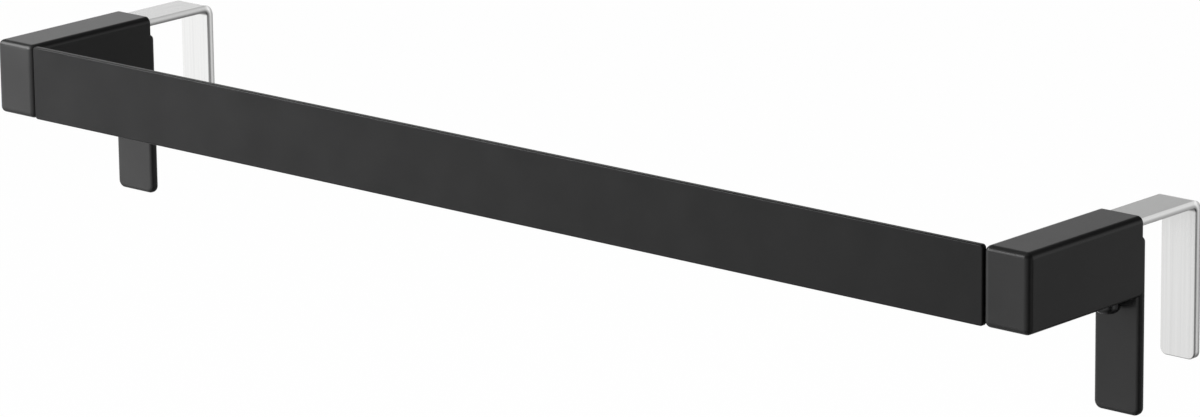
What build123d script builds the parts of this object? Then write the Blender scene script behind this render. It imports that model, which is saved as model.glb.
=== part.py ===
import os

from build123d import *

# Over-door towel bar. +X runs along the bar, +Y points at the door, +Z is up.
# The origin is the middle of the door's upper front edge: the tabs lie on the plane y = 0,
# and the hooks' undersides rest on the plane z = 0. All sizes are in millimetres.

# Hook strap: a flat strip bent once, which slides in the arm
strap_width = 9.5
strap_thickness = 1.9
strap_edge = 0.2
bend_inside = 1.0
hook_gap = 20.1
hook_drop = 35.0
hook_corner = 1.7
travel_in = 8.0
travel_out = 5.0
grip_past_screw = 5.0

# Slot in the arm that guides the strap
slot_clearance = 0.1
slot_wall = 1.4
slot_roof = 0.8
slot_end_room = 0.5

# Bracket: the arm and the foot tab below it
arm_height = 18.4
arm_reach = 42.0
arm_edge = 1.5
arm_rear_edge = 0.3
rear_relief = 1.2
relief_drop = 1.9
tab_length = 27.1
tab_thickness = 2.4
tab_edge = 1.0
tab_corner = 1.9
tab_top_corner = 1.2

# Bar between the brackets
bar_span = 295.2
bar_thickness = 1.5
bar_inset = 0.1
bar_end_gap = 0.15
bar_corner = 0.8
bar_edge = 0.4
bar_rear_edge = 0.25

# Lug on the bracket that carries the bar's end, with the bar's stud and nut
lug_length = 12.0
lug_height = 10.0
lug_thickness = 3.0
lug_corner = 1.6
lug_root = 1.0
stud_diameter = 3.0
stud_clearance = 0.1
stud_beyond_nut = 1.0
nut_across_flats = 5.5
nut_thickness = 2.4

# Clamp screw under the arm
screw_diameter = 3.0
screw_from_door = 5.8
screw_head_diameter = 5.8
screw_head_height = 3.4
screw_head_round = 1.5
screw_point = 0.5
socket_across_flats = 2.0
socket_depth = 1.5
thread_clearance = 0.05
tip_clearance = 0.1

# Places worked out from the sizes
arm_width = strap_width + 2 * (slot_clearance + slot_wall)
arm_top = strap_thickness + slot_clearance + slot_roof
arm_bottom = arm_top - arm_height
arm_middle = (arm_top + arm_bottom) / 2
arm_length = arm_reach - rear_relief
bracket_x = (bar_span + arm_width) / 2
tab_top = -relief_drop
tab_height = tab_top - arm_bottom + tab_length
bar_front = -arm_reach + bar_inset
bar_rear = bar_front + bar_thickness
bar_length = bar_span - 2 * bar_end_gap
bar_height = arm_height - 2 * bar_inset
lug_rear = bar_rear + lug_thickness
stud_x = (bar_span - lug_length) / 2
stud_length = lug_thickness + nut_thickness + stud_beyond_nut
screw_y = -screw_from_door
strap_tip = screw_y - grip_past_screw - travel_out
slot_end = strap_tip - travel_in - slot_end_room
slot_length = -slot_end


def make_tab(center_x):
    """Foot plate with round corners and a round edge all the way about."""
    with BuildPart() as tab:
        with BuildSketch(Plane.XZ) as outline:
            with Locations((center_x, tab_top - tab_height / 2)):
                Rectangle(arm_width, tab_height)
            fillet(outline.vertices().group_by(Axis.Y)[-1], tab_top_corner)
            fillet(outline.vertices().group_by(Axis.Y)[0], tab_corner)
        extrude(amount=tab_thickness)
        front_and_rear = tab.faces().filter_by(Axis.Y)
        fillet(front_and_rear.edges(), tab_edge)
    return tab.part


def make_bracket(center_x, inward):
    """Cast arm with its tab, the strap's slot, the screw's hole and the lug behind the bar's end."""
    inner_side = center_x + inward * arm_width / 2
    tab = make_tab(center_x)
    with BuildPart() as bracket:
        # Arm with round edges and a small bevel about its rear end
        with Locations((center_x, -rear_relief - arm_length / 2, arm_middle)):
            Box(arm_width, arm_length, arm_height)
        rear_edges = bracket.faces().sort_by(Axis.Y)[-1].edges()
        fillet(bracket.edges() - rear_edges, arm_edge)
        chamfer(bracket.faces().sort_by(Axis.Y)[-1].edges(), arm_rear_edge)
        # Tab, flush with the arm's sides
        add(tab)
        flush_top = tab_top - tab_top_corner
        flush_bottom = arm_bottom + arm_edge
        with Locations((center_x, -tab_thickness, (flush_top + flush_bottom) / 2)):
            Box(arm_width, tab_thickness, flush_top - flush_bottom)
        # Lug behind the bar's end
        with BuildSketch(Plane.XZ.offset(-bar_rear)):
            with Locations((inner_side + inward * (lug_length - arm_edge) / 2, arm_middle)):
                Rectangle(lug_length + arm_edge, lug_height)
        extrude(amount=-lug_thickness)
        lug_tip = bracket.faces().sort_by_distance((inner_side + inward * lug_length, lug_rear, arm_middle))
        fillet(lug_tip[0].edges().filter_by(Axis.Y), lug_corner)
        lug_root_edges = bracket.edges().sort_by_distance((inner_side, lug_rear, arm_middle))
        fillet(lug_root_edges[0], lug_root)
        # Slot for the strap, open at the rear
        with Locations((center_x, -slot_length / 2, strap_thickness / 2)):
            Box(
                strap_width + 2 * slot_clearance,
                slot_length,
                strap_thickness + 2 * slot_clearance,
                mode=Mode.SUBTRACT,
            )
        # Hole for the clamp screw, from the underside up to the slot
        with BuildSketch(Plane.XY.offset(arm_bottom)):
            with Locations((center_x, screw_y)):
                Circle(screw_diameter / 2)
        extrude(amount=-arm_bottom, mode=Mode.SUBTRACT)
        # Hole in the lug for the bar's stud
        with BuildSketch(Plane.XZ.offset(-bar_rear)):
            with Locations((-inward * stud_x, arm_middle)):
                Circle(stud_diameter / 2 + stud_clearance)
        extrude(amount=-lug_thickness, mode=Mode.SUBTRACT)
    return bracket


def make_strap(center_x):
    """Bent strip: a tongue in the arm, a bend over the door's edge and a leg behind the door."""
    with BuildPart() as strap:
        with BuildSketch(Plane.YZ.offset(center_x)):
            with BuildLine():
                inside = FilletPolyline(
                    (strap_tip, 0),
                    (hook_gap, 0),
                    (hook_gap, -hook_drop),
                    radius=bend_inside,
                )
                outside = FilletPolyline(
                    (strap_tip, strap_thickness),
                    (hook_gap + strap_thickness, strap_thickness),
                    (hook_gap + strap_thickness, -hook_drop),
                    radius=bend_inside + strap_thickness,
                )
                Line(inside @ 0, outside @ 0)
                Line(inside @ 1, outside @ 1)
            make_face()
        extrude(amount=strap_width / 2, both=True)
        # Round corners at the leg's end
        fillet(strap.edges().filter_by(Axis.Y).group_by(Axis.Z)[0], hook_corner)
        # Deburred edge of the inner broad face, which runs on from the tongue round the leg's end
        tongue_face = strap.faces().filter_by(Axis.Z).sort_by_distance((center_x, 0, 0))[0]
        chamfer(tongue_face.edges().filter_by(Axis.Y), strap_edge)
    return strap


def make_screw(center_x):
    """Round-headed socket screw that enters the arm from below and bears on the strap's tongue."""
    with BuildPart() as screw:
        # Head with a well-rounded rim
        with BuildSketch(Plane.XY.offset(arm_bottom)):
            with Locations((center_x, screw_y)):
                Circle(screw_head_diameter / 2)
        extrude(amount=-screw_head_height)
        fillet(screw.edges().group_by(Axis.Z)[0], screw_head_round)
        # Shank with a blunt point
        with BuildSketch(Plane.XY.offset(arm_bottom)):
            with Locations((center_x, screw_y)):
                Circle(screw_diameter / 2 - thread_clearance)
        extrude(amount=-arm_bottom - tip_clearance)
        chamfer(screw.edges().group_by(Axis.Z)[-1], screw_point)
        # Six-sided socket for the key
        with BuildSketch(Plane.XY.offset(arm_bottom - screw_head_height)):
            with Locations((center_x, screw_y)):
                RegularPolygon(socket_across_flats / 2, 6, major_radius=False)
        extrude(amount=socket_depth, mode=Mode.SUBTRACT)
    return screw


def make_bar():
    """Flat strip with round corners and soft front edges, with a stud welded behind each end."""
    with BuildPart() as bar:
        with BuildSketch(Plane.XZ.offset(-bar_front)):
            with Locations((0, arm_middle)):
                RectangleRounded(bar_length, bar_height, bar_corner)
        extrude(amount=-bar_thickness)
        # Edges, soft in front and bevelled behind
        fillet(bar.faces().sort_by(Axis.Y)[0].edges(), bar_edge)
        chamfer(bar.faces().sort_by(Axis.Y)[-1].edges(), bar_rear_edge)
        with BuildSketch(Plane.XZ.offset(-bar_rear)):
            with Locations((-stud_x, arm_middle), (stud_x, arm_middle)):
                Circle(stud_diameter / 2)
        extrude(amount=-stud_length)
    return bar


def make_nut(center_x):
    """Six-sided nut on the bar's stud, seated on the lug."""
    with BuildPart() as nut:
        with BuildSketch(Plane.XZ.offset(-lug_rear)):
            with Locations((center_x, arm_middle)):
                RegularPolygon(nut_across_flats / 2, 6, major_radius=False)
                Circle(stud_diameter / 2 + thread_clearance, mode=Mode.SUBTRACT)
        extrude(amount=-nut_thickness)
    return nut


os.makedirs("parts", exist_ok=True)

bar = make_bar()
bar.part.label = "bar"
export_step(bar.part, "parts/bar.step")

for side, sign in (("left", -1), ("right", 1)):
    bracket = make_bracket(sign * bracket_x, -sign)
    bracket.part.label = f"bracket_{side}"
    export_step(bracket.part, f"parts/bracket_{side}.step")

    hook_strap = make_strap(sign * bracket_x)
    hook_strap.part.label = f"hook_strap_{side}"
    export_step(hook_strap.part, f"parts/hook_strap_{side}.step")

    clamp_screw = make_screw(sign * bracket_x)
    clamp_screw.part.label = f"clamp_screw_{side}"
    export_step(clamp_screw.part, f"parts/clamp_screw_{side}.step")

    bar_nut = make_nut(sign * stud_x)
    bar_nut.part.label = f"bar_nut_{side}"
    export_step(bar_nut.part, f"parts/bar_nut_{side}.step")
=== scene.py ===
import math

import bpy
from mathutils import Matrix, Vector


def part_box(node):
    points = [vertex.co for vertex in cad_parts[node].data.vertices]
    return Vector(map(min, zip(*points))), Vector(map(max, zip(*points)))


# Over-door towel bar, in metres: +X runs along the bar, +Y points at the door and +Z is up
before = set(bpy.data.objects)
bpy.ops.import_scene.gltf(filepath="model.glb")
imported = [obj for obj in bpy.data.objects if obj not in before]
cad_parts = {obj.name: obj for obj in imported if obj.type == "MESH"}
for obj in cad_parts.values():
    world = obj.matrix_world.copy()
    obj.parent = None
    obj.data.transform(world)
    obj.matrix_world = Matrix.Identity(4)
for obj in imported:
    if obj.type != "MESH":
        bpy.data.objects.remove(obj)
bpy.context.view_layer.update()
scene = bpy.context.scene
scene.view_settings.view_transform = "Standard"


# Camera: a long lens, from the right and a little above, for a frame of 1200 by 417 pixels
FRAME_WIDTH = 1200
FOCAL_PIXELS = 6147.43
SENSOR_WIDTH = 36.0
CLIP_START = 0.05
CLIP_END = 100.0
AZIMUTH = math.radians(41.6436)
ELEVATION = math.radians(14.8039)
ROLL = math.radians(-0.6823)
# A point near the origin, and where the camera sees it along its own axes: right, up and back
VIEW_ORIGIN = Vector((0.0, -0.001, 0.0028))
VIEW_OFFSET = Vector((-0.0014604, 0.0240756, -1.4405256))


def make_camera():
    """Camera that looks from AZIMUTH and ELEVATION, turned by ROLL about its line of sight."""
    back = Vector((
        math.sin(AZIMUTH) * math.cos(ELEVATION),
        -math.cos(AZIMUTH) * math.cos(ELEVATION),
        math.sin(ELEVATION),
    ))
    level_right = Vector((math.cos(AZIMUTH), math.sin(AZIMUTH), 0.0))
    level_up = back.cross(level_right)
    right = math.cos(ROLL) * level_right + math.sin(ROLL) * level_up
    up = -math.sin(ROLL) * level_right + math.cos(ROLL) * level_up
    turn = Matrix((right, up, back)).transposed()
    place = turn @ -VIEW_OFFSET + VIEW_ORIGIN
    data = bpy.data.cameras.new("camera")
    data.sensor_fit = "HORIZONTAL"
    data.sensor_width = SENSOR_WIDTH
    data.lens = FOCAL_PIXELS / FRAME_WIDTH * SENSOR_WIDTH
    data.clip_start = CLIP_START
    data.clip_end = CLIP_END
    camera = bpy.data.objects.new("camera", data)
    camera.matrix_world = Matrix.Translation(place) @ turn.to_4x4()
    scene.collection.objects.link(camera)
    scene.camera = camera


make_camera()


# Node helpers
def empty_tree(owner):
    """Node tree of a material or a world, with no nodes in it."""
    owner.use_nodes = True
    owner.node_tree.nodes.clear()
    return owner.node_tree


def new_material(name):
    """Material with its node tree and its one main shader."""
    material = bpy.data.materials.new(name)
    tree = empty_tree(material)
    output = tree.nodes.new("ShaderNodeOutputMaterial")
    shader = tree.nodes.new("ShaderNodeBsdfPrincipled")
    tree.links.new(shader.outputs["BSDF"], output.inputs["Surface"])
    return material, tree, shader


def fill(tree, node, values):
    """Give a node's inputs, in their order, a link or a constant each."""
    for socket, value in zip(node.inputs, values):
        if isinstance(value, bpy.types.NodeSocket):
            tree.links.new(value, socket)
        else:
            socket.default_value = value


def arithmetic(tree, operation, *values):
    node = tree.nodes.new("ShaderNodeMath")
    node.operation = operation
    fill(tree, node, values)
    return node.outputs["Value"]


def vector_arithmetic(tree, operation, *values):
    """The results, by the names Vector and Value."""
    node = tree.nodes.new("ShaderNodeVectorMath")
    node.operation = operation
    fill(tree, node, values)
    return node.outputs


def coordinate(tree, kind):
    return tree.nodes.new("ShaderNodeTexCoord").outputs[kind]


def split(tree, vector):
    """The vector's parts, by the names X, Y and Z."""
    node = tree.nodes.new("ShaderNodeSeparateXYZ")
    tree.links.new(vector, node.inputs["Vector"])
    return node.outputs


def stretched(tree, scale):
    mapping = tree.nodes.new("ShaderNodeMapping")
    mapping.inputs["Scale"].default_value = scale
    tree.links.new(coordinate(tree, "Object"), mapping.inputs["Vector"])
    return mapping.outputs["Vector"]


def noise(tree, vector, scale, detail=2.0, rough=0.5):
    texture = tree.nodes.new("ShaderNodeTexNoise")
    texture.inputs["Scale"].default_value = scale
    texture.inputs["Detail"].default_value = detail
    texture.inputs["Roughness"].default_value = rough
    tree.links.new(vector, texture.inputs["Vector"])
    return texture.outputs["Fac"]


# Most values of a noise lie between these two
NOISE_LOW = 0.25
NOISE_HIGH = 0.75


def spread(tree, value, low, high, start=NOISE_LOW, end=NOISE_HIGH):
    """Value that runs from low to high while the given one runs from start to end."""
    mapped = tree.nodes.new("ShaderNodeMapRange")
    mapped.inputs["From Min"].default_value = start
    mapped.inputs["From Max"].default_value = end
    mapped.inputs["To Min"].default_value = low
    mapped.inputs["To Max"].default_value = high
    tree.links.new(value, mapped.inputs["Value"])
    return mapped.outputs["Result"]


def grey_ramp(tree, value, dark, light):
    """Colour that runs from dark to light over a noise."""
    ramp = tree.nodes.new("ShaderNodeValToRGB")
    first, last = ramp.color_ramp.elements
    first.position = NOISE_LOW
    first.color = (*dark, 1.0)
    last.position = NOISE_HIGH
    last.color = (*light, 1.0)
    tree.links.new(value, ramp.inputs["Fac"])
    return ramp.outputs["Color"]


def bump(tree, height, relief, strength, below=None):
    """Normal over a height whose unit is the relief in metres, on top of another normal if one is given."""
    node = tree.nodes.new("ShaderNodeBump")
    node.inputs["Strength"].default_value = strength
    node.inputs["Distance"].default_value = relief
    tree.links.new(height, node.inputs["Height"])
    if below is not None:
        tree.links.new(below, node.inputs["Normal"])
    return node.outputs["Normal"]


def dress(tree, shader, colour, roughness, normal):
    tree.links.new(colour, shader.inputs["Base Color"])
    tree.links.new(roughness, shader.inputs["Roughness"])
    tree.links.new(normal, shader.inputs["Normal"])


# Powder coat: noise in waves per metre, relief in metres
COAT_MOTTLE = 90.0
COAT_PEEL = 900.0
COAT_GRAIN = 5200.0
COAT_ROUGH_SPREAD = 0.03
PEEL_RELIEF = 0.00001
PEEL_STRENGTH = 0.10
GRAIN_RELIEF = 0.000004
GRAIN_STRENGTH = 0.15


def powder_coat(name, dark, light, rough, gloss):
    """Near-black satin coat, with a fine grain over a soft orange peel."""
    material, tree, shader = new_material(name)
    shader.inputs["Specular IOR Level"].default_value = gloss
    place = coordinate(tree, "Object")
    mottle = noise(tree, place, COAT_MOTTLE, detail=3.0)
    grain = noise(tree, place, COAT_GRAIN)
    peel = noise(tree, place, COAT_PEEL)
    colour = grey_ramp(tree, mottle, dark, light)
    roughness = spread(tree, grain, rough - COAT_ROUGH_SPREAD, rough + COAT_ROUGH_SPREAD)
    wavy = bump(tree, peel, PEEL_RELIEF, PEEL_STRENGTH)
    grained = bump(tree, grain, GRAIN_RELIEF, GRAIN_STRENGTH, below=wavy)
    dress(tree, shader, colour, roughness, grained)
    return material


# Hook strip: its underside is the plane z = 0, and its leg hangs behind the door
STRIP_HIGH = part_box("hook_strap_right")[1]
STRIP_THICKNESS = STRIP_HIGH[2]
LEG_FRONT = STRIP_HIGH[1] - STRIP_THICKNESS
BEND_INSIDE = 0.001
# Tilt of its narrow sides, at the outer face and at half thickness
OUTER_TILT = math.radians(24.0)
MIDDLE_TILT = math.radians(8.0)


def rolled_edge(tree):
    """Height that rounds the strip's narrow sides off towards its outer face, all round the bend."""
    place = split(tree, coordinate(tree, "Object"))
    past_bend = arithmetic(tree, "SUBTRACT", place["Y"], LEG_FRONT - BEND_INSIDE)
    past_bend = arithmetic(tree, "MAXIMUM", past_bend, 0.0)
    above_bend = arithmetic(tree, "ADD", place["Z"], BEND_INSIDE)
    above_bend = arithmetic(tree, "MAXIMUM", above_bend, 0.0)
    joined = tree.nodes.new("ShaderNodeCombineXYZ")
    fill(tree, joined, (past_bend, above_bend))
    radius = vector_arithmetic(tree, "LENGTH", joined.outputs["Vector"])["Value"]
    from_middle = arithmetic(tree, "SUBTRACT", radius, BEND_INSIDE + STRIP_THICKNESS / 2)
    growth = (math.tan(OUTER_TILT) - math.tan(MIDDLE_TILT)) / STRIP_THICKNESS
    slope = arithmetic(tree, "MULTIPLY", from_middle, growth)
    slope = arithmetic(tree, "ADD", slope, math.tan(MIDDLE_TILT))
    fall = arithmetic(tree, "MULTIPLY", slope, from_middle)
    return arithmetic(tree, "MULTIPLY", fall, -1.0)


# Stainless steel: brushing in waves per metre, X across the strip, Y and Z along it
BRUSH_LINES = (9000.0, 45.0, 45.0)
BRUSH_BANDS = (1500.0, 12.0, 12.0)
BRUSH_RELIEF = 0.00001
BRUSH_STRENGTH = 0.4
STEEL_DARK = (0.80, 0.80, 0.795)
STEEL_LIGHT = (0.87, 0.87, 0.865)
STEEL_SMOOTHEST = 0.17
STEEL_ROUGHEST = 0.25
# Colour of the cut sides, lighter partly for their burnish and partly as painted highlight for the light
# they catch; it starts and is full where this much of the normal points along X
CUT_SIDE_BURNISH_AND_SHEEN = (0.94, 0.94, 0.935, 1.0)
CUT_SIDE_START = 0.85
CUT_SIDE_FULL = 0.97


def brushed_strip(name):
    """Bare metal, brushed along its length, with cut sides painted brighter, partly for their burnish and
    partly as painted highlight.
    """
    material, tree, shader = new_material(name)
    shader.inputs["Metallic"].default_value = 1.0
    lines = noise(tree, stretched(tree, BRUSH_LINES), scale=1.0, detail=3.0, rough=0.6)
    bands = noise(tree, stretched(tree, BRUSH_BANDS), scale=1.0)
    facing = split(tree, coordinate(tree, "Normal"))
    sideways = arithmetic(tree, "ABSOLUTE", facing["X"])
    # The cut sides, which face along X, take the brighter colour: their burnish and a painted highlight
    cut_side_burnish_and_sheen = spread(tree, sideways, 0.0, 1.0, CUT_SIDE_START, CUT_SIDE_FULL)
    colour = tree.nodes.new("ShaderNodeMix")
    colour.data_type = "RGBA"
    tree.links.new(cut_side_burnish_and_sheen, colour.inputs["Factor"])
    tree.links.new(grey_ramp(tree, bands, STEEL_DARK, STEEL_LIGHT), colour.inputs["A"])
    colour.inputs["B"].default_value = CUT_SIDE_BURNISH_AND_SHEEN
    roughness = spread(tree, lines, STEEL_SMOOTHEST, STEEL_ROUGHEST)
    rolled = bump(tree, rolled_edge(tree), relief=1.0, strength=1.0)
    brushed = bump(tree, lines, BRUSH_RELIEF, BRUSH_STRENGTH, below=rolled)
    dress(tree, shader, colour.outputs["Result"], roughness, brushed)
    return material


# Screws and nuts: noise in waves per metre, relief in metres
METAL_MOTTLE = 1500.0
METAL_ROUGH_SPREAD = 0.06
METAL_RELIEF = 0.000008
METAL_STRENGTH = 0.3


def plain_metal(name, dark, light, rough):
    """Metal with a faint, fine mottle."""
    material, tree, shader = new_material(name)
    shader.inputs["Metallic"].default_value = 1.0
    mottle = noise(tree, coordinate(tree, "Object"), METAL_MOTTLE, detail=3.0)
    colour = grey_ramp(tree, mottle, dark, light)
    roughness = spread(tree, mottle, rough - METAL_ROUGH_SPREAD, rough + METAL_ROUGH_SPREAD)
    dress(tree, shader, colour, roughness, bump(tree, mottle, METAL_RELIEF, METAL_STRENGTH))
    return material


# Materials of the nodes
BAR_COAT = powder_coat(
    "bar_coat", dark=(0.0055, 0.0055, 0.0056), light=(0.0080, 0.0080, 0.0081), rough=0.34, gloss=0.22
)
CAST_COAT = powder_coat(
    "cast_coat", dark=(0.0105, 0.0105, 0.0106), light=(0.0145, 0.0145, 0.0146), rough=0.305, gloss=0.38
)
STEEL = brushed_strip("brushed_stainless")
SCREW = plain_metal("black_oxide", dark=(0.090, 0.090, 0.092), light=(0.125, 0.125, 0.128), rough=0.24)
NUT = plain_metal("zinc_plate", dark=(0.50, 0.50, 0.48), light=(0.62, 0.62, 0.60), rough=0.34)

NODE_MATERIALS = {
    "bar": BAR_COAT,
    "bracket_left": CAST_COAT,
    "bracket_right": CAST_COAT,
    "hook_strap_left": STEEL,
    "hook_strap_right": STEEL,
    "clamp_screw_left": SCREW,
    "clamp_screw_right": SCREW,
    "bar_nut_left": NUT,
    "bar_nut_right": NUT,
}
for node_name, node_material in NODE_MATERIALS.items():
    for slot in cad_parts[node_name].material_slots:
        slot.material = node_material


# White, as the camera sees the floor and the backdrop
WHITE = (1.0, 1.0, 1.0, 1.0)


def seen_directly(tree):
    """1 for what the camera sees, also through glass, and 0 for light and reflections."""
    path = tree.nodes.new("ShaderNodeLightPath").outputs
    return arithmetic(tree, "MAXIMUM", path["Is Camera Ray"], path["Is Transmission Ray"])


def mix_shaders(tree, share, first, second):
    mix = tree.nodes.new("ShaderNodeMixShader")
    fill(tree, mix, (share, first, second))
    return mix.outputs["Shader"]


# Floor: plain and pale, well below the hung object, with a faint shadow
FLOOR_HEIGHT = -0.30
FLOOR_HALF = 8.0
FLOOR_PAINT = (0.95, 0.95, 0.95, 1.0)
FLOOR_WHITE_SHARE = 0.985


def floor_white():
    """Pale paint that the camera sees as nearly plain white."""
    material = bpy.data.materials.new("floor_white")
    tree = empty_tree(material)
    output = tree.nodes.new("ShaderNodeOutputMaterial")
    paint = tree.nodes.new("ShaderNodeBsdfDiffuse")
    paint.inputs["Color"].default_value = FLOOR_PAINT
    white = tree.nodes.new("ShaderNodeEmission")
    fill(tree, white, (WHITE, 1.0))
    share = arithmetic(tree, "MULTIPLY", seen_directly(tree), FLOOR_WHITE_SHARE)
    shown = mix_shaders(tree, share, paint.outputs["BSDF"], white.outputs["Emission"])
    tree.links.new(shown, output.inputs["Surface"])
    return material


def make_floor():
    """Square floor, kept out of the gloss."""
    mesh = bpy.data.meshes.new("floor")
    corners = [
        (-FLOOR_HALF, -FLOOR_HALF, FLOOR_HEIGHT),
        (FLOOR_HALF, -FLOOR_HALF, FLOOR_HEIGHT),
        (FLOOR_HALF, FLOOR_HALF, FLOOR_HEIGHT),
        (-FLOOR_HALF, FLOOR_HALF, FLOOR_HEIGHT),
    ]
    mesh.from_pydata(corners, [], [(0, 1, 2, 3)])
    floor = bpy.data.objects.new("floor", mesh)
    scene.collection.objects.link(floor)
    floor.visible_glossy = False
    mesh.materials.append(floor_white())


make_floor()


# World: white to the camera, and a graded studio that lights the object and shows in its gloss
LEVEL_SCALE = 1.5
# Level by bearing in degrees: 0 is in front, 90 on the right and -90 on the left
AROUND = [
    (-180, 0.44), (-165, 0.44), (-155, 0.56), (-148, 0.82), (-142, 1.00), (-133, 1.44), (-122, 1.45),
    (-108, 0.90), (-95, 0.68), (-80, 0.68), (-68, 0.95), (-55, 1.24), (-46, 1.07), (-40, 0.975),
    (-20, 0.80), (0, 0.72), (18, 0.55), (34, 0.38), (48, 0.18), (58, 0.03), (74, 0.03), (84, 0.24),
    (95, 0.44), (108, 0.26), (120, 0.17), (132, 0.14), (142, 0.23), (150, 0.62), (158, 0.68),
    (167, 0.48), (180, 0.44),
]
# Factor on that level by height: -1 is straight down and 1 straight up
UPWARD = [
    (-1.0, 0.25), (-0.62, 0.32), (-0.42, 0.70), (-0.29, 0.95), (-0.23, 1.05), (0.0, 1.05), (0.15, 0.77),
    (0.27, 0.51), (0.42, 0.20), (0.6, 0.06), (0.8, 0.06), (1.0, 0.10),
]
# Soft round panel behind on the right, full within the inner angle and gone past the outer one
PANEL_TOWARD = Vector((0.637, 0.759, 0.135))
PANEL_INNER = math.radians(9.0)
PANEL_OUTER = math.radians(22.0)
PANEL_LEVEL = 0.50


def level_ramp(tree, value, levels, low, high, scale=1.0):
    """Grey for a value from low to high, by a list of places and of levels, which the scale divides."""
    ramp = tree.nodes.new("ShaderNodeValToRGB")
    stops = ramp.color_ramp.elements
    # New stops start anywhere and get their places below
    while len(stops) < len(levels):
        stops.new(0.5)
    first = levels[0][0]
    last = levels[-1][0]
    for stop, (place, level) in zip(stops, levels):
        stop.position = (place - first) / (last - first)
        stop.color = (level / scale, level / scale, level / scale, 1.0)
    tree.links.new(spread(tree, value, 0.0, 1.0, low, high), ramp.inputs["Fac"])
    return ramp.outputs["Color"]


def background(tree, colour, strength):
    node = tree.nodes.new("ShaderNodeBackground")
    fill(tree, node, (colour, strength))
    return node.outputs["Background"]


def make_world():
    world = bpy.data.worlds.new("studio")
    scene.world = world
    tree = empty_tree(world)
    output = tree.nodes.new("ShaderNodeOutputWorld")
    direction = coordinate(tree, "Generated")
    parts = split(tree, direction)
    forward = arithmetic(tree, "MULTIPLY", parts["Y"], -1.0)
    bearing = arithmetic(tree, "ARCTAN2", parts["X"], forward)
    around = level_ramp(tree, bearing, AROUND, -math.pi, math.pi, LEVEL_SCALE)
    upward = level_ramp(tree, parts["Z"], UPWARD, -1.0, 1.0)
    graded = vector_arithmetic(tree, "MULTIPLY", around, upward)["Vector"]
    toward = vector_arithmetic(tree, "DOT_PRODUCT", direction, PANEL_TOWARD)["Value"]
    panel_level = PANEL_LEVEL / LEVEL_SCALE
    panel = spread(tree, toward, 0.0, panel_level, math.cos(PANEL_OUTER), math.cos(PANEL_INNER))
    lit = vector_arithmetic(tree, "ADD", graded, panel)["Vector"]
    studio = background(tree, lit, LEVEL_SCALE)
    white = background(tree, WHITE, 1.0)
    shown = mix_shaders(tree, seen_directly(tree), studio, white)
    tree.links.new(shown, output.inputs["Surface"])


make_world()


# Lamps: a soft box on the left that shows in the gloss, and a fill and an overhead one that don't
def soft_box(name, place, target, width, height, power, shows):
    """Rectangular lamp that faces the target. Its power is in watts."""
    data = bpy.data.lights.new(name, "AREA")
    data.shape = "RECTANGLE"
    data.size = width
    data.size_y = height
    data.energy = power
    lamp = bpy.data.objects.new(name, data)
    lamp.location = place
    aim = Vector(target) - Vector(place)
    lamp.rotation_euler = aim.to_track_quat("-Z", "Y").to_euler()
    lamp.visible_glossy = shows
    scene.collection.objects.link(lamp)
    return lamp


left_box = soft_box(
    "left_box",
    place=(-0.53, -0.43, 0.38),
    target=(-0.05, -0.03, 0.0),
    width=0.6,
    height=0.30,
    power=3.5,
    shows=True,
)
soft_box(
    "left_fill",
    place=(-0.42, -0.36, 0.09),
    target=(-0.15, -0.03, 0.0),
    width=0.25,
    height=0.25,
    power=7.8,
    shows=False,
)
soft_box(
    "overhead",
    place=(-0.2, 0.0, 1.5),
    target=(0.0, 0.0, 0.0),
    width=2.0,
    height=2.0,
    power=20.0,
    shows=False,
)

# The left box is kept off the bare straps, where it would glare
all_but_straps = bpy.data.collections.new("all_but_straps")
for node_name, node_material in NODE_MATERIALS.items():
    if node_material is not STEEL:
        all_but_straps.objects.link(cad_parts[node_name])
left_box.light_linking.receiver_collection = all_but_straps
